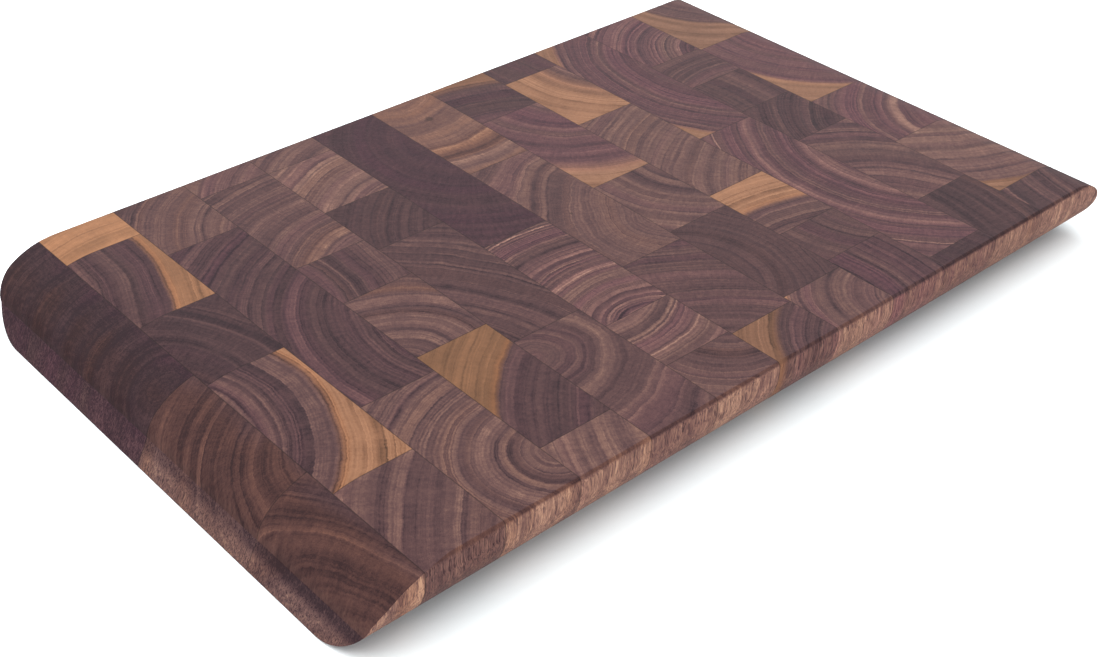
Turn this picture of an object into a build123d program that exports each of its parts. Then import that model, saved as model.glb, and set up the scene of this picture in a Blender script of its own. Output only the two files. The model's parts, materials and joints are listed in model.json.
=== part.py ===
from build123d import *
import math
import os

# End-grain cutting board, glued up from blocks. X runs along the board, Y across it and Z up.
# The origin is at the middle of the underside. All sizes are in millimetres.

# Overall size
board_length = 464.0
board_width = 288.0
board_thickness = 34.0

# Rolled end, at -X: the top rolls over and meets a narrow band that flares out to the underside.
roll_run = 40.0
roll_drop = 24.0
crease_depth = 22.0
roll_start_x = -185.9

# Nose end, at +X: a rounded top over a rounded lower half.
nose_run = 20.0
nose_drop = 16.0
nose_under_radius = board_thickness - nose_drop

# Long sides: a small round at the top, a short upright land and a large round underneath.
side_top_run = 2.0
side_top_drop = 3.0
side_land_bottom = 6.0
side_under_radius = board_thickness - side_land_bottom

# Corner radii in plan
rolled_end_corner_radius = 17.0
nose_end_corner_radius = 1.5

# Strips run across the board. The first is at the rolled end and the last is at the nose end.
nose_strip_width = 53.0
middle_strip_width = 38.0
middle_strip_count = 10
rolled_strip_width = board_length - nose_strip_width - middle_strip_count * middle_strip_width

# Width along Y of each block in each strip, from the back edge (+Y) to the front edge (-Y)
block_widths = [
    [134.0, 81.0, 73.0],
    [27.0, 64.0, 53.0, 88.0, 56.0],
    [51.0, 147.0, 90.0],
    [18.0, 80.0, 36.0, 52.0, 78.0, 24.0],
    [19.0, 48.0, 42.0, 95.0, 84.0],
    [139.0, 82.0, 37.0, 30.0],
    [83.0, 109.0, 68.0, 28.0],
    [47.0, 85.0, 53.0, 71.0, 32.0],
    [21.0, 59.0, 94.0, 46.0, 29.0, 39.0],
    [131.0, 147.0, 10.0],
    [57.0, 32.0, 36.0, 40.0, 77.0, 46.0],
    [59.0, 82.0, 57.0, 65.0, 25.0],
]

# How far the boxes that cut out the blocks pass the outside of the board
overrun = 10.0

half_length = board_length / 2
half_width = board_width / 2
crease_angle = 180 - math.degrees(math.asin(1 - crease_depth / roll_drop))

# The whole board before it is divided: the end profile, the side profile and the plan have this
# solid in common.
with BuildPart() as board:
    # Profile seen from the side, drawn from the rolled end's base corner clockwise
    with BuildSketch(Plane.XZ):
        with BuildLine():
            roll = EllipticalCenterArc(
                (roll_start_x, board_thickness - roll_drop),
                roll_run,
                roll_drop,
                start_angle=90,
                arc_size=crease_angle - 90,
            )
            band = Line(roll @ 1, (-half_length, 0))
            base = Line(band @ 1, (half_length - nose_under_radius, 0))
            nose_under = RadiusArc(
                base @ 1,
                (half_length, nose_under_radius),
                -nose_under_radius,
            )
            nose_top = EllipticalCenterArc(
                (half_length - nose_run, board_thickness - nose_drop),
                nose_run,
                nose_drop,
                start_angle=0,
                arc_size=90,
            )
            top = Line(nose_top @ 1, roll @ 0)
        make_face()
    extrude(amount=half_width, both=True)

    # Profile seen from the end, the same along the whole board
    with BuildSketch(Plane.YZ):
        with BuildLine():
            right_under = RadiusArc(
                (half_width - side_under_radius, 0),
                (half_width, side_under_radius),
                -side_under_radius,
            )
            right_land = Line(right_under @ 1, (half_width, board_thickness - side_top_drop))
            right_top = EllipticalCenterArc(
                (half_width - side_top_run, board_thickness - side_top_drop),
                side_top_run,
                side_top_drop,
                start_angle=0,
                arc_size=90,
            )
            mirror(about=Plane.YZ)
            crown = Line(right_top @ 1, (side_top_run - half_width, board_thickness))
            underside = Line(right_under @ 0, (side_under_radius - half_width, 0))
        make_face()
    extrude(amount=board_length, both=True, mode=Mode.INTERSECT)

    # Plan, with its four upright corners
    with BuildSketch(Plane.XY):
        outline = Rectangle(board_length, board_width)
        rolled_corners = outline.vertices().filter_by_position(Axis.X, -board_length, 0)
        nose_corners = outline.vertices().filter_by_position(Axis.X, 0, board_length)
        fillet(rolled_corners, rolled_end_corner_radius)
        fillet(nose_corners, nose_end_corner_radius)
    extrude(amount=board_thickness, mode=Mode.INTERSECT)


def cut_lines(widths, start):
    """Positions of the cuts along one axis, with the outer two moved past the board."""
    lines = [start]
    for width in widths:
        lines.append(lines[-1] + width)
    lines[0] -= overrun
    lines[-1] += overrun
    return lines


def build_block(name, low_x, high_x, low_y, high_y):
    """Cut one block out of the board and export it."""
    with BuildPart() as block:
        add(board.part)
        with Locations(((low_x + high_x) / 2, (low_y + high_y) / 2, board_thickness / 2)):
            Box(
                high_x - low_x,
                high_y - low_y,
                board_thickness + 2 * overrun,
                mode=Mode.INTERSECT,
            )
    block.part.label = name
    export_step(block.part, f"parts/{name}.step")


os.makedirs("parts", exist_ok=True)
strip_widths = [rolled_strip_width]
strip_widths += [middle_strip_width] * middle_strip_count
strip_widths += [nose_strip_width]
x_lines = cut_lines(strip_widths, -half_length)
for strip, widths in enumerate(block_widths):
    y_lines = cut_lines(widths, -half_width)
    for number in range(len(widths)):
        build_block(
            f"strip_{strip + 1:02d}_block_{number + 1}",
            x_lines[strip],
            x_lines[strip + 1],
            -y_lines[number + 1],
            -y_lines[number],
        )
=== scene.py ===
import json

import bpy
from mathutils import Matrix, Vector

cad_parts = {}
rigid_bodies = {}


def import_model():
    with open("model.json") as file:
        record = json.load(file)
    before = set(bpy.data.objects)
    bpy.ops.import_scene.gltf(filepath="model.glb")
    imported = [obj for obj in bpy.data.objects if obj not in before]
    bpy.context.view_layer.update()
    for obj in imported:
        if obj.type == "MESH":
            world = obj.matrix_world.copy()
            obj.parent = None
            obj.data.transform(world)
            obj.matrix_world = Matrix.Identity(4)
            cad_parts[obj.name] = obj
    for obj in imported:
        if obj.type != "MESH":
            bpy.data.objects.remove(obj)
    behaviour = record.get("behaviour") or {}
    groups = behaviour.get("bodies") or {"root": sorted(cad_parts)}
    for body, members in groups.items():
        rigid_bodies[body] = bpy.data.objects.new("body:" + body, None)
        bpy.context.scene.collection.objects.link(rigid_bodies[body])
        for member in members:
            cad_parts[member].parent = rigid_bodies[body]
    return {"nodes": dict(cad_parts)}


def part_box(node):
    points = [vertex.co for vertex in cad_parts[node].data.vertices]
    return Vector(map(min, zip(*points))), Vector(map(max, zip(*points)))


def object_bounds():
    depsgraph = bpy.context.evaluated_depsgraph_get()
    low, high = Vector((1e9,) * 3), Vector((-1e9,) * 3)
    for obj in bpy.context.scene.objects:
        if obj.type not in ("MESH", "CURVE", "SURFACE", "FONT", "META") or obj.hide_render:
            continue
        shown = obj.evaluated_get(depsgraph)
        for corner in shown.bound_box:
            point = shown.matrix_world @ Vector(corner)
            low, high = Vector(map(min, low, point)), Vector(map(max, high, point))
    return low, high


for leftover in list(bpy.data.objects):
    bpy.data.objects.remove(leftover)

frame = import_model()
cad_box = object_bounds()

MM = 0.001

# ---------------------------------------------------------------------------------------------
# The blocks. Each strip runs across the board, and its blocks are listed from the back edge to
# the front edge. Growth rings are circles about the tree's pith, which stands upright because the
# blocks show their end grain. Sizes are in millimetres.
#
#   pith      place of the ring centre from the block's middle: towards the nose, towards the back
#   ring      width of one growth ring
#   tone      0 is nearly black heartwood, 1 is pale
#   tint      below 0 is purple, above 0 is orange
#   contrast  strength of the rings
#   wave      how far the rings stray from true circles
#   sap       distance from the pith at which the sapwood starts
#   soft      half the width of the change to sapwood
#   gold      0 is pinkish sapwood, 1 is golden
#   sap_light brightness of the sapwood
#   side      tone of the side grain, where it isn't just a little paler than the end grain
#   shade     painted shade: how much darker the upper part of the band below the crease is
#   bands     up to four single rings: distance from the pith, half width, strength
#   knot      a small dark knot: towards the nose, towards the back, radius
# ---------------------------------------------------------------------------------------------
PLAIN = {
    "ring": 4.5,
    "tone": 0.4,
    "tint": 0.0,
    "contrast": 0.4,
    "wave": 2.0,
    "sap": 900.0,
    "soft": 1.5,
    "gold": 0.7,
    "sap_light": 0.9,
    "side": None,
    "shade": 0.0,
    "bands": (),
    "knot": None,
}


def wood(pith, **changes):
    """The description of one block: PLAIN with what differs."""
    return {**PLAIN, "pith": pith, **changes}


BLOCKS = {
    "strip_01": [
        wood((5, -60), ring=5.5, tone=0.09, tint=-0.6, contrast=0.3, side=0.36, shade=0.06),
        wood((38, -42), ring=6.5, tone=0.24, tint=0.3, contrast=0.55, side=0.71, shade=0.26,
             bands=((41.5, 2.8, 0.18), (35.5, 4, -0.09), (57.4, 1.1, -0.10), (65, 1.0, -0.08))),
        wood((-220, -68), ring=8, tone=0.245, tint=0.3, contrast=0.5, side=0.67, shade=0.42,
             bands=((236, 3.5, 0.15), (227, 4, -0.11), (242, 1.1, -0.10), (218, 3.5, 0.04))),
    ],
    "strip_02": [
        wood((0, -200), ring=5, tone=0.6, contrast=0.0, sap=0, gold=1.0),
        wood((-130, 32), ring=3.2, tone=0.28, tint=-0.2, contrast=0.6,
             sap=143.5, soft=2.2, gold=0.9, sap_light=0.70),
        wood((-62, -28), ring=5, tone=0.17, contrast=0.35, bands=((76, 0.8, 0.14),)),
        wood((-75, 26), ring=5, tone=0.33, tint=-0.2, contrast=0.8, sap=90, soft=2.5, gold=0.7,
             sap_light=0.88),
        wood((110, -100), ring=11, tone=0.43, tint=-0.1, contrast=0.6, side=0.42),
    ],
    "strip_03": [
        wood((45, -40), ring=5, tone=0.47, tint=0.15, contrast=0.6, bands=((84, 7, -0.20),)),
        wood((70, -50), ring=5.0, tone=0.26, tint=-0.3, contrast=0.62, bands=((142, 3, 0.08),)),
        wood((23, -26), ring=4.8, tone=0.49, tint=0.1, contrast=0.75, side=0.68),
    ],
    "strip_04": [
        wood((60, -60), ring=5, tone=0.5, tint=-0.2, contrast=0.6),
        wood((17, -65), ring=4.5, tone=0.42, contrast=0.7, bands=((33, 10, 0.08),)),
        wood((-90, 12), ring=4, tone=0.30, tint=-0.2, contrast=0.7,
             bands=((84, 0.6, 0.30), (84, 5, -0.08), (103, 4, 0.12))),
        wood((-26, -27), ring=6.5, tone=0.42, tint=0.1, contrast=0.75),
        wood((140, -140), ring=3.2, tone=0.27, tint=-0.2, contrast=0.35, sap=202.5, gold=1.0,
             sap_light=0.51, bands=((170.7, 0.6, 0.16), (199, 2.5, 0.10))),
        wood((100, -45), ring=5, tone=0.55, contrast=0.55, side=0.69),
    ],
    "strip_05": [
        wood((30, -50), ring=6, tone=0.47, tint=-0.1, contrast=0.4),
        wood((30, -70), ring=5, tone=0.58, tint=-0.1, contrast=0.65),
        wood((70, -60), ring=3.5, tone=0.21, contrast=0.35),
        wood((-110, -69), ring=6, tone=0.29, tint=0.0, contrast=0.55,
             bands=((157, 4, 0.12), (115, 4, 0.12), (136, 4, 0.08))),
        wood((-20, 28), ring=8, tone=0.40, tint=-0.2, contrast=0.55, wave=4.5, side=0.61,
             bands=((32, 5, 0.11), (42, 6, -0.06), (55, 3.5, 0.12))),
    ],
    "strip_06": [
        wood((45, 20), ring=5, tone=0.17, tint=-0.6, contrast=0.25),
        wood((0, -59), ring=3.6, tone=0.50, tint=-0.4, contrast=1.0, bands=((88, 18, -0.08),)),
        wood((-10, 50), ring=3.8, tone=0.51, tint=-0.3, contrast=0.6,
             bands=((59, 0.6, 0.24), (64, 0.5, 0.18), (37, 3, 0.14))),
        wood((25, 25), ring=5, tone=0.37, contrast=0.5, side=0.61,
             bands=((56, 9, 0.18), (45.8, 0.5, 0.15))),
    ],
    "strip_07": [
        wood((-2, 53), ring=8, tone=0.57, tint=0.5, contrast=0.35, wave=3.5, knot=(2, 16, 2.6),
             bands=((75.6, 2.5, -0.22), (83, 3, 0.12), (68, 3, 0.10), (63.5, 1, -0.16))),
        wood((40, -35), ring=8, tone=0.49, contrast=0.65, wave=4.5),
        wood((-60, -85), ring=3.5, tone=0.37, tint=-0.2, contrast=0.5),
        wood((46, -49), ring=3, tone=0.32, tint=-0.2, contrast=0.6, sap=71.5, soft=2.5, gold=0.3,
             sap_light=0.60, side=0.45),
    ],
    "strip_08": [
        wood((-25, -76), ring=6, tone=0.255, tint=-0.3, contrast=0.5, sap=95, soft=5, gold=0.3,
             sap_light=0.60),
        wood((38, 46), ring=6, tone=0.42, tint=-0.6, contrast=0.5, sap=86, soft=9, gold=0.3,
             sap_light=0.92),
        wood((45, 22), ring=5, tone=0.49, contrast=0.5, bands=((40, 3.5, -0.20),)),
        wood((-45, 0), ring=5, tone=0.28, contrast=0.4),
        wood((25, -18), ring=5, tone=0.48, tint=-0.2, contrast=0.8, sap=53, gold=0.6, side=0.70),
    ],
    "strip_09": [
        wood((120, 10), ring=4, tone=0.275, tint=-0.3, contrast=0.3),
        wood((68, 30), ring=5, tone=0.50, contrast=0.5, sap=62, soft=12, gold=0.5, sap_light=0.82),
        wood((59, -96), ring=4, tone=0.51, contrast=0.55),
        wood((-18, -98), ring=4, tone=0.37, tint=-0.2, contrast=0.55, sap=98.5, soft=2.5, gold=0.6,
             bands=((92, 0.7, 0.22), (85.4, 1.2, 0.18))),
        wood((60, 15), ring=4, tone=0.32, tint=-0.2, contrast=0.5),
        wood((-150, 10), ring=5, tone=0.30, tint=-0.5, contrast=0.8, side=0.55),
    ],
    "strip_10": [
        wood((77, -4), ring=4.5, tone=0.40, tint=-0.6, contrast=0.6, sap=105.5, soft=2.5, gold=0.2,
             sap_light=0.72),
        wood((75, 5), ring=4.5, tone=0.42, tint=-0.5, contrast=0.6,
             bands=((109, 0.5, 0.4), (65, 3, 0.12), (77, 4, -0.12), (90, 3, 0.12))),
        wood((-100, 0), tone=0.17, tint=-0.2, contrast=0.3, side=0.55),
    ],
    "strip_11": [
        wood((33, -41), ring=7.5, tone=0.445, tint=-0.6, contrast=0.95),
        wood((0, -60), ring=5, tone=0.34, tint=-0.2, contrast=0.55, bands=((50, 5, 0.12),)),
        wood((-120, 0), ring=5, tone=0.28, tint=-0.2, contrast=0.4, bands=((125, 5, 0.14),)),
        wood((60, -50), ring=5, tone=0.24, tint=-0.2, contrast=0.6),
        wood((-60, -58), ring=8, tone=0.43, tint=-0.3, contrast=0.7),
        wood((-110, 20), ring=5, tone=0.21, contrast=0.45, side=0.67),
    ],
    "strip_12": [
        wood((45, 36), ring=5, tone=0.44, tint=-0.2, contrast=0.4, sap=60, soft=2, gold=0.0,
             sap_light=0.66),
        wood((56, 33), ring=5.5, tone=0.44, tint=-0.7, contrast=0.4, sap=88, soft=2, gold=0.2,
             sap_light=0.74),
        wood((38, -34), ring=4, tone=0.44, tint=-0.6, contrast=0.5, bands=((46, 3.4, 0.24),)),
        wood((60, 130), ring=6, tone=0.55, tint=-0.2, contrast=0.55, wave=3.0, sap=173, gold=0.2,
             sap_light=0.66),
        wood((90, -30), ring=5, tone=0.30, tint=-0.2, contrast=0.6, side=0.69,
             bands=((101, 1.2, 0.12),)),
    ],
}

# Colours. Heartwood runs from its darkest to its palest, as colour stops. A tint multiplies the
# colour it is put on.
HEARTWOOD = (
    (0.00, (0.030, 0.013, 0.018)),
    (0.18, (0.062, 0.029, 0.033)),
    (0.36, (0.098, 0.047, 0.048)),
    (0.52, (0.140, 0.070, 0.064)),
    (0.70, (0.215, 0.112, 0.090)),
    (0.88, (0.330, 0.185, 0.135)),
    (1.00, (0.440, 0.262, 0.180)),
)
SAPWOOD_PINK = (0.330, 0.170, 0.110)
SAPWOOD_GOLD = (0.412, 0.192, 0.096)
SAPWOOD_EDGE = (0.460, 0.190, 0.085)
SAP_SHADE_TINT = (1.0, 0.90, 0.86)
PURPLE_TINT = (1.06, 0.88, 1.10)
ORANGE_TINT = (1.12, 0.98, 0.78)
SIDE_TINT = (1.08, 1.0, 0.93)
# Painted reflection: the band below the crease is tinted greyer, for the bright floor it would
# reflect
BAND_REFLECTION_TINT = (0.97, 1.07, 1.12)
GLUE_COLOUR = (0.018, 0.010, 0.009)
FLOOR_COLOUR = (0.85, 0.90, 0.915)
WHITE = (1.0, 1.0, 1.0)

# Height of the crease above the underside, in millimetres
CREASE_HEIGHT = 12.0

# Where the surface turns from one kind of grain to the next. Each is a range, from and to, of the
# size of one part of the surface's normal. The first two are of its part up or down, the next two
# of its part along the board, and the last three of its part across the board.
UPRIGHT_FACE = (0.28, 0.36)
BAND_FACE = (0.7, 0.9)
TURNED_TO_END = (0.3, 0.6)
ROLLED_OVER = (0.15, 0.60)
UNDER_EDGE = (0.25, 0.80)
TOP_EDGE = (0.80, 0.98)
EASED_EDGE = (0.10, 0.50)
CREASE_BLUR = 0.3

# How fast the wood changes across its grain and upwards, which is along its grain
GRAIN_STRETCH = (1.0, 1.0, 0.12)
PORE_STRETCH = (1.0, 1.0, 0.035)
FIBRE_STRETCH = (1.0, 1.0, 0.07)
SWAY_STRETCH = (0.3, 0.3, 1.0)

# What each feature adds to the tone of the wood
SIDE_LIFT = 0.1
BAND_LIFT = -0.25
RING_TONE = {"broad": 0.13, "late": -0.20, "early": 0.11, "fine": 0.62, "balance": 0.012}
TEXTURE_TONE = {
    "mottle": 0.40,
    "rays": 0.28,
    "grit": 0.22,
    "fibres": 1.25,
    "flecks": -0.36,
    "side": 0.10,
    "pores": -0.09,
}
# Painted shade: the eased edges and the rolled-over top are darker than the flat top, for the sheen
# they don't catch
PLACE_TONE = {"clouds": 0.20, "eased": -0.11, "rolled": -0.03}

# What each feature adds to the lean of the hue, where 1 is orange and -1 is purple
# The eased edges and the rolled-over top lean to orange as part of that painted shade
HUE_LEAN = {"stray": 1.6, "eased": 0.9, "rolled": 1.1}

# What each feature adds to the roughness, and to the relief in millimetres
ROUGHNESS = {"oiled": 0.44, "pores": 0.16, "late": -0.05, "clouds": 0.10, "side": 0.06}
RELIEF = {"pores": -0.030, "late": 0.012, "glue": -0.030, "fibres": 0.05, "rays": 0.008}
RELIEF_STRENGTH = 0.8

# The glue line fades out between these distances from the joint, in millimetres. A cover is how
# strongly the dark colour of the glue line or the knot covers the wood.
GLUE_REACH = (0.04, 0.34)
GLUE_COVER = 0.65
KNOT_COVER = 0.5

WOOD_IOR = 1.5
WOOD_SPECULAR = 0.18


# ---------------------------------------------------------------------------------------------
# Node helpers
# ---------------------------------------------------------------------------------------------
class Graph:
    """Adds nodes to one node tree. A value given as a socket is linked; any other is typed in."""

    def __init__(self, tree):
        self.tree = tree

    def feed(self, socket, value):
        if isinstance(value, bpy.types.NodeSocket):
            self.tree.links.new(value, socket)
        elif value is not None:
            socket.default_value = value

    def node(self, kind, settings=None, inputs=None):
        made = self.tree.nodes.new(kind)
        for name, value in (settings or {}).items():
            setattr(made, name, value)
        for name, value in (inputs or {}).items():
            self.feed(made.inputs[name], value)
        return made

    def math(self, operation, first, second=None):
        settings = {"operation": operation}
        return self.node("ShaderNodeMath", settings, {0: first, 1: second}).outputs[0]

    def add(self, *terms):
        total = terms[0]
        for term in terms[1:]:
            total = self.math("ADD", total, term)
        return total

    def times(self, *factors):
        product = factors[0]
        for factor in factors[1:]:
            product = self.math("MULTIPLY", product, factor)
        return product

    def vector(self, operation, first, second=None):
        made = self.node("ShaderNodeVectorMath", {"operation": operation}, {0: first, 1: second})
        return made.outputs["Value" if operation == "LENGTH" else "Vector"]

    def scale(self, vector, factor):
        inputs = {0: vector, "Scale": factor}
        return self.node("ShaderNodeVectorMath", {"operation": "SCALE"}, inputs).outputs["Vector"]

    def split(self, vector):
        return self.node("ShaderNodeSeparateXYZ", None, {0: vector}).outputs

    def join(self, x, y, z):
        return self.node("ShaderNodeCombineXYZ", None, {0: x, 1: y, 2: z}).outputs[0]

    def ramp(self, value, low, high, to_low=0.0, to_high=1.0):
        """A smooth step of value from low to high."""
        settings = {"interpolation_type": "SMOOTHSTEP"}
        inputs = {
            "Value": value,
            "From Min": low,
            "From Max": high,
            "To Min": to_low,
            "To Max": to_high,
        }
        return self.node("ShaderNodeMapRange", settings, inputs).outputs[0]

    def fade(self, value, low, high):
        """The other way round: 1 up to low and 0 from high on."""
        return self.ramp(value, low, high, 1.0, 0.0)

    def minus(self, first, second):
        return self.math("SUBTRACT", first, second)

    def mix(self, factor, first, second, blend="MIX"):
        made = self.node("ShaderNodeMix", {"data_type": "RGBA", "blend_type": blend})
        self.feed(made.inputs["Factor"], factor)
        for socket, value in ((made.inputs[6], first), (made.inputs[7], second)):
            self.feed(socket, value)
        return made.outputs[2]

    def tinted(self, factor, colour, tint):
        """The colour with a tint multiplied in where factor is 1."""
        return self.mix(factor, colour, self.mix(1.0, colour, tint, "MULTIPLY"))

    def noise(self, place, scale, detail=2.0, roughness=0.5):
        inputs = {"Vector": place, "Scale": scale, "Detail": detail, "Roughness": roughness}
        return self.node("ShaderNodeTexNoise", {"noise_dimensions": "3D"}, inputs)

    def stray(self, place, scale, detail=2.0, roughness=0.5):
        """Noise from -0.5 to 0.5."""
        return self.minus(self.noise(place, scale, detail, roughness).outputs[0], 0.5)

    def push(self, place, noise_place, scale, detail, amount):
        """The place pushed about by noise, by up to half the amount each way."""
        colour = self.noise(noise_place, scale, detail).outputs["Color"]
        way = self.vector("SUBTRACT", colour, (0.5, 0.5, 0.5))
        return self.vector("ADD", place, self.scale(way, amount))

    def noise_along(self, place, scale, detail=1.0, roughness=0.5):
        """Noise that changes along one number only, from 0 to 1."""
        inputs = {"W": place, "Scale": scale, "Detail": detail, "Roughness": roughness}
        return self.node("ShaderNodeTexNoise", {"noise_dimensions": "1D"}, inputs).outputs[0]


def rgba(colour):
    return (*colour, 1.0)


def colour_stops(graph, value, stops):
    made = graph.node("ShaderNodeValToRGB", None, {0: value})
    elements = made.color_ramp.elements
    while len(elements) < len(stops):
        elements.new(1.0)
    for element, (place, colour) in zip(elements, stops):
        element.position = place
        element.color = rgba(colour)
    return made.outputs["Color"]


# ---------------------------------------------------------------------------------------------
# The walnut: one node group, a solid texture that runs through the whole block
# ---------------------------------------------------------------------------------------------
BAND_INPUTS = ("Band 1", "Band 2", "Band 3", "Band 4")
GROUP_INPUTS = (
    ("Pith", "Vector"),
    ("Low", "Vector"),
    ("High", "Vector"),
    ("Knot", "Vector"),
    *((name, "Vector") for name in BAND_INPUTS),
    ("Ring", "Float"),
    ("Tone", "Float"),
    ("Tint", "Float"),
    ("Contrast", "Float"),
    ("Wave", "Float"),
    ("Sapwood", "Float"),
    ("Soft", "Float"),
    ("Gold", "Float"),
    ("Sap light", "Float"),
    ("Side", "Float"),
    ("Shade", "Float"),
    ("Crease", "Float"),
    ("Seed", "Float"),
)
GROUP_OUTPUTS = (("Color", "Color"), ("Roughness", "Float"), ("Normal", "Vector"))


def surface_kinds(g, place, crease):
    """How far the surface is each kind of grain, from 0 to 1: side grain, end grain, the band below
    the crease, the eased edges along the top, and the top where it rolls over."""
    height = g.split(place)[2]
    facing = g.split(g.node("ShaderNodeNewGeometry").outputs["Normal"])
    endways, sideways, flatness = (g.math("ABSOLUTE", part) for part in facing)
    below = g.math("LESS_THAN", facing[2], 0.0)
    has_crease = g.ramp(crease, 0.0, 1.0)

    # At the rolled end the end grain runs on down to the crease
    upright = g.times(g.fade(flatness, *UPRIGHT_FACE), g.minus(1.0, has_crease))
    below_crease = g.fade(g.minus(height, crease), -CREASE_BLUR, CREASE_BLUR)
    band = g.times(below_crease, g.fade(flatness, *BAND_FACE), g.ramp(endways, *TURNED_TO_END))
    under_edge = g.times(g.ramp(sideways, *UNDER_EDGE), below)
    edges = g.math("MAXIMUM", g.ramp(sideways, *TOP_EDGE), under_edge)
    side = g.math("MAXIMUM", g.math("MAXIMUM", upright, band), edges)
    end = g.minus(1.0, side)
    eased = g.times(g.ramp(sideways, *EASED_EDGE), end, g.minus(1.0, below))
    rolled = g.times(g.ramp(endways, *ROLLED_OVER), end, has_crease)
    return side, end, band, eased, rolled


def glue_line(g, place, low, high):
    """1 where two blocks meet, from the block's lowest and highest corners."""
    here, low, high = g.split(place), g.split(low), g.split(high)
    nearest = None
    for axis in (0, 1):
        for gap in (g.minus(here[axis], low[axis]), g.minus(high[axis], here[axis])):
            nearest = gap if nearest is None else g.math("MINIMUM", nearest, gap)
    return g.fade(nearest, *GLUE_REACH)


def walnut_group():
    tree = bpy.data.node_groups.new("end_grain_walnut", "ShaderNodeTree")
    for name, kind in GROUP_INPUTS:
        tree.interface.new_socket(name=name, in_out="INPUT", socket_type="NodeSocket" + kind)
    for name, kind in GROUP_OUTPUTS:
        tree.interface.new_socket(name=name, in_out="OUTPUT", socket_type="NodeSocket" + kind)
    g = Graph(tree)
    given = tree.nodes.new("NodeGroupInput").outputs
    result = tree.nodes.new("NodeGroupOutput").inputs

    # Place in millimetres, and the same place pushed about so that no ring is a true circle
    place = g.scale(g.node("ShaderNodeTexCoord").outputs["Object"], 1 / MM)
    seed_shift = g.join(g.times(given["Seed"], 37.0), g.times(given["Seed"], 17.0), 0.0)
    own_place = g.vector("ADD", place, seed_shift)
    grain_place = g.vector("MULTIPLY", own_place, GRAIN_STRETCH)
    pushed = place
    for scale, detail, amount in (
        (0.024, 1.0, g.times(given["Wave"], 2.6)),
        (0.13, 2.0, g.times(given["Wave"], 0.7)),
        (0.9, 2.0, 1.3),
    ):
        pushed = g.push(pushed, grain_place, scale, detail, amount)
    side, end, band, eased, rolled = surface_kinds(g, place, given["Crease"])

    # Distance from the pith, and the growth ring it falls in
    from_pith = g.vector("SUBTRACT", pushed, given["Pith"])
    across = g.split(from_pith)
    radius = g.vector("LENGTH", g.join(across[0], across[1], 0.0))
    seed_along = g.times(given["Seed"], 11.3)
    even_years = g.math("DIVIDE", radius, given["Ring"])
    uneven = g.times(g.noise_along(g.add(even_years, seed_along), 0.45), 1.7)
    years = g.add(even_years, uneven)
    in_ring = g.math("FRACT", years)
    ring_number = g.add(g.math("FLOOR", years), seed_along)
    white = g.node("ShaderNodeTexWhiteNoise", {"noise_dimensions": "1D"}, {"W": ring_number})
    ring_luck = white.outputs["Value"]

    # Tone along the radius: broad bands, dark late wood that ends sharply, pale early wood, and
    # fine lines. All of it comes and goes along each ring, and is weaker on side grain.
    broad = g.ramp(g.noise_along(g.add(years, seed_along), 0.75, 3.0), 0.3, 0.7, -1.0, 1.0)
    late = g.times(g.ramp(in_ring, 0.55, 0.93), g.fade(in_ring, 0.93, 1.0))
    late = g.times(late, g.ramp(ring_luck, 0.0, 1.0, 0.2, 1.0))
    early = g.times(g.fade(in_ring, 0.0, 0.35), ring_luck)
    fine = g.noise_along(g.add(g.times(radius, 0.9), seed_along), 1.0, 3.0, 0.7)
    fine = g.math("MINIMUM", g.minus(fine, 0.5), 0.10)
    patches = g.noise(grain_place, 0.10, 2.0).outputs[0]
    ring_tone = g.add(
        g.times(broad, RING_TONE["broad"]),
        g.times(late, RING_TONE["late"]),
        g.times(early, RING_TONE["early"]),
        g.times(fine, RING_TONE["fine"]),
        RING_TONE["balance"],
    )
    ring_tone = g.times(ring_tone, g.ramp(patches, 0.25, 0.70, 0.45, 1.35))
    ring_tone = g.times(ring_tone, g.ramp(side, 0.0, 1.0, 1.0, 0.5))
    heart_rings = g.times(ring_tone, given["Contrast"], 1.5)

    # Single rings, given one by one
    picked = []
    for name in BAND_INPUTS:
        centre, half_width, strength = g.split(given[name])
        away = g.math("ABSOLUTE", g.minus(radius, centre))
        picked.append(g.times(g.fade(g.math("DIVIDE", away, half_width), 0.35, 1.15), strength))
    picked_rings = g.add(*picked)

    # Clouds and mottling, rays, and pores that are dots in end grain and streaks in side grain
    clouds = g.stray(grain_place, 0.055)
    mottle = g.stray(grain_place, 0.55, 3.0, 0.7)
    pore_place = g.vector("MULTIPLY", place, PORE_STRETCH)
    pores = g.ramp(g.noise(pore_place, 1.7, 2.0, 0.6).outputs[0], 0.54, 0.72)
    grit = g.stray(pore_place, 2.4, 1.0)
    angle = g.math("ARCTAN2", across[1], across[0])
    ray_place = g.join(g.times(angle, 70.0), g.times(radius, 0.10), given["Seed"])
    rays = g.stray(ray_place, 1.2, 2.0, 0.6)

    # Fibres run up the side grain and sway a little; some are dark flecks
    sway_place = g.vector("MULTIPLY", own_place, SWAY_STRETCH)
    swayed = g.push(place, sway_place, 0.13, 1.0, 3.0)
    fibre_place = g.vector("MULTIPLY", swayed, FIBRE_STRETCH)
    fibres = g.stray(fibre_place, 1.1, 4.0, 0.75)
    flecks = g.ramp(g.noise(fibre_place, 2.0, 2.0, 0.6).outputs[0], 0.50, 0.64)

    # Painted shade under the crease: the upper part of the band is darker, down to a ragged line
    height = g.split(place)[2]
    shade = g.times(g.ramp(g.add(height, g.times(fibres, 8.0)), 5.0, 10.0), given["Shade"])

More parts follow.
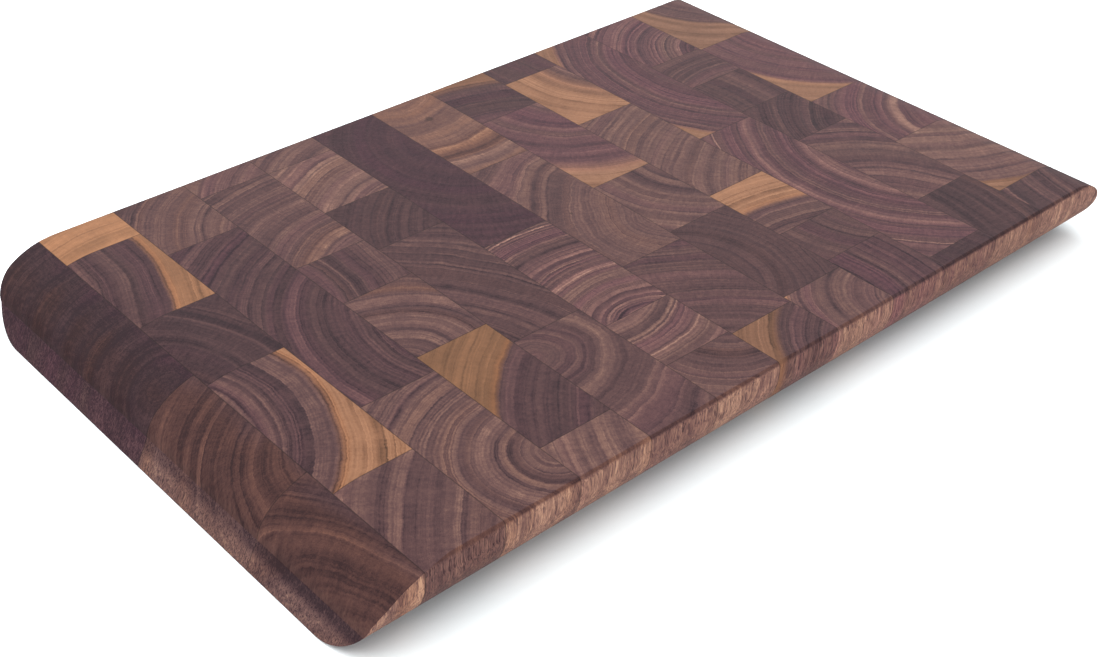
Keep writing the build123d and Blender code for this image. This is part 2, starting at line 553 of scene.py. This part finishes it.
    texture = g.add(
        g.times(mottle, TEXTURE_TONE["mottle"]),
        g.times(rays, end, TEXTURE_TONE["rays"]),
        g.times(grit, end, TEXTURE_TONE["grit"]),
        g.times(fibres, side, TEXTURE_TONE["fibres"]),
        g.times(flecks, side, TEXTURE_TONE["flecks"]),
        g.times(side, TEXTURE_TONE["side"]),
        g.times(pores, TEXTURE_TONE["pores"]),
    )
    tone = g.add(
        given["Tone"],
        heart_rings,
        picked_rings,
        g.times(clouds, PLACE_TONE["clouds"]),
        texture,
        g.times(side, given["Side"]),
        # The band's own tone, less the painted shade of its upper part under the crease
        g.times(band, g.minus(BAND_LIFT, shade)),
        # Painted shade: the eased edges and the rolled-over top are darker, for the sheen the flat
        # top catches and they don't
        g.times(eased, PLACE_TONE["eased"]),
        g.times(rolled, PLACE_TONE["rolled"]),
    )
    heart = colour_stops(g, tone, HEARTWOOD)

    # Hue: each block leans to purple or to orange, and strays a little along the radius. The full
    # tint is reached at a lean of -1 or 1.
    hue_stray = g.minus(g.noise_along(g.add(years, seed_along, 50.0), 0.35, 2.0), 0.5)
    lean = g.add(
        given["Tint"],
        g.times(hue_stray, HUE_LEAN["stray"]),
        # The painted shade on the eased edges and the rolled-over top also leans to orange
        g.times(eased, HUE_LEAN["eased"]),
        g.times(rolled, HUE_LEAN["rolled"]),
    )
    for full_lean, tint in ((-1.0, PURPLE_TINT), (1.0, ORANGE_TINT)):
        tint_here = g.mix(g.ramp(lean, 0.0, full_lean), rgba(WHITE), rgba(tint))
        heart = g.mix(1.0, heart, tint_here, "MULTIPLY")

    # Sapwood outside the given ring, with an orange edge where it begins. Where it is dark it is
    # redder too, unless it is golden.
    beyond = g.minus(g.add(radius, g.times(fine, 1.2)), given["Sapwood"])
    is_sap = g.ramp(g.math("DIVIDE", beyond, given["Soft"]), -1.0, 1.0)
    sap_base = g.mix(given["Gold"], rgba(SAPWOOD_PINK), rgba(SAPWOOD_GOLD))
    at_edge = g.fade(beyond, 1.0, 4.5)
    sap_base = g.mix(g.times(at_edge, given["Gold"], 0.7), sap_base, rgba(SAPWOOD_EDGE))
    sap_light = g.add(
        1.0,
        g.times(ring_tone, g.add(0.9, g.times(given["Contrast"], 0.6))),
        g.times(clouds, 0.5),
        texture,
    )
    sap_light = g.math("MAXIMUM", g.times(sap_light, given["Sap light"]), 0.05)
    sap_wood = g.mix(1.0, sap_base, g.join(sap_light, sap_light, sap_light), "MULTIPLY")
    sap_shade = g.ramp(sap_light, 0.95, 0.55)
    sap_shade = g.times(sap_shade, g.ramp(given["Gold"], 0.7, 1.0, 0.6, 0.0))
    sap_wood = g.tinted(sap_shade, sap_wood, rgba(SAP_SHADE_TINT))
    colour = g.mix(is_sap, heart, sap_wood)

    # Side grain is a little warmer, because it takes up less oil, and the band a little greyer, a
    # painted reflection of the bright floor
    colour = g.tinted(side, colour, rgba(SIDE_TINT))
    colour = g.tinted(band, colour, rgba(BAND_REFLECTION_TINT))

    # The knot, and the glue line where two blocks meet
    knot = g.split(given["Knot"])
    flat_place = g.vector("MULTIPLY", pushed, (1.0, 1.0, 0.0))
    knot_place = g.join(knot[0], knot[1], 0.0)
    knot_away = g.vector("LENGTH", g.vector("SUBTRACT", flat_place, knot_place))
    in_knot = g.fade(g.math("DIVIDE", knot_away, knot[2]), 0.5, 1.1)
    colour = g.mix(g.times(in_knot, KNOT_COVER), colour, rgba(GLUE_COLOUR))
    glue = glue_line(g, place, given["Low"], given["High"])
    colour = g.mix(g.times(glue, GLUE_COVER), colour, rgba(GLUE_COLOUR))
    g.feed(result["Color"], colour)

    # Satin oil: dense late wood is a little glossier than the open pores
    roughness = g.add(
        ROUGHNESS["oiled"],
        g.times(pores, ROUGHNESS["pores"]),
        g.times(late, ROUGHNESS["late"]),
        g.times(clouds, ROUGHNESS["clouds"]),
        g.times(side, ROUGHNESS["side"]),
    )
    g.feed(result["Roughness"], roughness)

    relief = g.add(
        g.times(pores, RELIEF["pores"]),
        g.times(late, RELIEF["late"]),
        g.times(glue, RELIEF["glue"]),
        g.times(fibres, side, RELIEF["fibres"]),
        g.times(rays, end, RELIEF["rays"]),
    )
    bump_inputs = {"Height": relief, "Distance": MM, "Strength": RELIEF_STRENGTH}
    g.feed(result["Normal"], g.node("ShaderNodeBump", None, bump_inputs).outputs["Normal"])
    return tree


WALNUT = walnut_group()

# A block's face is on the outside of the board when it is this close to the board's box, and then
# its glue line moves out of reach. Both are in millimetres.
OUTSIDE_REACH = 1.0
FAR_AWAY = 100.0
NO_BAND = (0.0, 1.0, 0.0)
NO_KNOT = (0.0, 0.0, 1.0)


def block_material(name, look, seed):
    """A material for one block: the shared walnut with the block's own values."""
    low, high = (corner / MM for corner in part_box(name))
    middle = (low + high) / 2
    board_low, board_high = (corner / MM for corner in cad_box)
    for axis in (0, 1):
        if low[axis] - board_low[axis] < OUTSIDE_REACH:
            low[axis] -= FAR_AWAY
        if board_high[axis] - high[axis] < OUTSIDE_REACH:
            high[axis] += FAR_AWAY
    material = bpy.data.materials.new("walnut_" + name)
    material.use_nodes = True
    shader = material.node_tree.nodes["Principled BSDF"]
    g = Graph(material.node_tree)
    group = g.node("ShaderNodeGroup", {"node_tree": WALNUT})
    pith_x, pith_y = look["pith"]
    values = {
        "Pith": (middle.x + pith_x, middle.y + pith_y, 0.0),
        "Low": low,
        "High": high,
        "Ring": look["ring"],
        "Tone": look["tone"],
        "Tint": look["tint"],
        "Contrast": look["contrast"],
        "Wave": look["wave"],
        "Sapwood": look["sap"],
        "Soft": look["soft"],
        "Gold": look["gold"],
        "Sap light": look["sap_light"],
        "Side": SIDE_LIFT if look["side"] is None else look["side"] - look["tone"],
        "Shade": look["shade"],
        "Crease": CREASE_HEIGHT if name.startswith("strip_01") else 0.0,
        "Seed": seed,
        "Knot": NO_KNOT,
    }
    if look["knot"]:
        knot_x, knot_y, knot_radius = look["knot"]
        values["Knot"] = (middle.x + knot_x, middle.y + knot_y, knot_radius)
    for number, socket_name in enumerate(BAND_INPUTS):
        values[socket_name] = look["bands"][number] if number < len(look["bands"]) else NO_BAND
    for socket_name, value in values.items():
        group.inputs[socket_name].default_value = value
    g.feed(shader.inputs["Base Color"], group.outputs["Color"])
    g.feed(shader.inputs["Roughness"], group.outputs["Roughness"])
    g.feed(shader.inputs["Normal"], group.outputs["Normal"])
    shader.inputs["IOR"].default_value = WOOD_IOR
    shader.inputs["Specular IOR Level"].default_value = WOOD_SPECULAR
    return material


def dress_blocks():
    seed = 0
    for strip, looks in BLOCKS.items():
        for number, look in enumerate(looks):
            seed += 1
            name = f"{strip}_block_{number + 1}"
            piece = frame["nodes"][name]
            material = block_material(name, look, float(seed))
            for slot in piece.material_slots:
                slot.material = material


# ---------------------------------------------------------------------------------------------
# Floor, light and camera. Sizes are in metres, lamps in watts, and the lens and sensor in
# millimetres.
# ---------------------------------------------------------------------------------------------
FLOOR_HALF = 6.0
FLOOR_HEIGHT = -0.0005
FLOOR_ROUGHNESS = 0.9
FLOOR_SPECULAR = 0.2
BOARD_CENTRE = (0, 0, 0)
OVERHEAD = {"place": (-0.5, 0.9, 1.6), "size": (1.6, 1.2), "power": 8.0}
FLOOR_ONLY = {"place": (-0.3, 0.6, 1.8), "size": (4.0, 4.0), "power": 105.0}
# The surroundings are dim below the horizon and bright from a little above it
HORIZON = (-0.05, 0.30)
WORLD_STRENGTH = (0.30, 1.05)
CAMERA_LENS = 53.69
CAMERA_SENSOR = 36.0


def build_floor():
    half = FLOOR_HALF
    mesh = bpy.data.meshes.new("floor")
    corners = [(-half, -half, 0), (half, -half, 0), (half, half, 0), (-half, half, 0)]
    mesh.from_pydata(corners, [], [(0, 1, 2, 3)])
    floor = bpy.data.objects.new("floor", mesh)
    bpy.context.scene.collection.objects.link(floor)
    floor.location.z = FLOOR_HEIGHT
    material = bpy.data.materials.new("pale_floor")
    material.use_nodes = True
    shader = material.node_tree.nodes["Principled BSDF"]
    shader.inputs["Base Color"].default_value = rgba(FLOOR_COLOUR)
    shader.inputs["Roughness"].default_value = FLOOR_ROUGHNESS
    shader.inputs["Specular IOR Level"].default_value = FLOOR_SPECULAR
    mesh.materials.append(material)
    floor.visible_glossy = False
    return floor


def area_light(name, place, size, power):
    """A softbox aimed at the board, which no reflection shows."""
    light = bpy.data.lights.new(name, "AREA")
    light.shape = "RECTANGLE"
    light.size, light.size_y = size
    light.energy = power
    lamp = bpy.data.objects.new(name, light)
    lamp.location = place
    aim = Vector(BOARD_CENTRE) - Vector(place)
    lamp.rotation_mode = "QUATERNION"
    lamp.rotation_quaternion = aim.to_track_quat("-Z", "Y")
    lamp.visible_glossy = False
    bpy.context.scene.collection.objects.link(lamp)
    return lamp


def build_light(floor):
    """Even white surroundings, a soft key from the back left, and a light for the floor only."""
    world = bpy.data.worlds.new("studio")
    world.use_nodes = True
    g = Graph(world.node_tree)
    height = g.split(g.node("ShaderNodeTexCoord").outputs["Generated"])[2]
    background = world.node_tree.nodes["Background"]
    background.inputs["Color"].default_value = rgba(WHITE)
    g.feed(background.inputs["Strength"], g.ramp(height, *HORIZON, *WORLD_STRENGTH))
    bpy.context.scene.world = world
    area_light("overhead_softbox", **OVERHEAD)
    floor_lamp = area_light("floor_softbox", **FLOOR_ONLY)
    lit_by_floor_lamp = bpy.data.collections.new("floor_only")
    lit_by_floor_lamp.objects.link(floor)
    floor_lamp.light_linking.receiver_collection = lit_by_floor_lamp


def build_camera():
    """Camera at the viewing angle: its axes as unit vectors in the board's frame."""
    right = Vector((0.74506, -0.66672, 0.01906))
    up = Vector((0.37583, 0.44325, 0.81380))
    back = -Vector((0.55102, 0.59915, -0.58083))
    place = Vector((-0.45778, -0.48606, 0.44460))
    camera = bpy.data.cameras.new("camera")
    camera.lens = CAMERA_LENS
    camera.sensor_width = CAMERA_SENSOR
    holder = bpy.data.objects.new("camera", camera)
    turn = Matrix((right, up, back)).transposed()
    holder.matrix_world = Matrix.Translation(place) @ turn.to_4x4()
    bpy.context.scene.collection.objects.link(holder)
    bpy.context.scene.camera = holder


dress_blocks()
build_light(build_floor())
build_camera()
bpy.context.scene.view_settings.view_transform = "Standard"
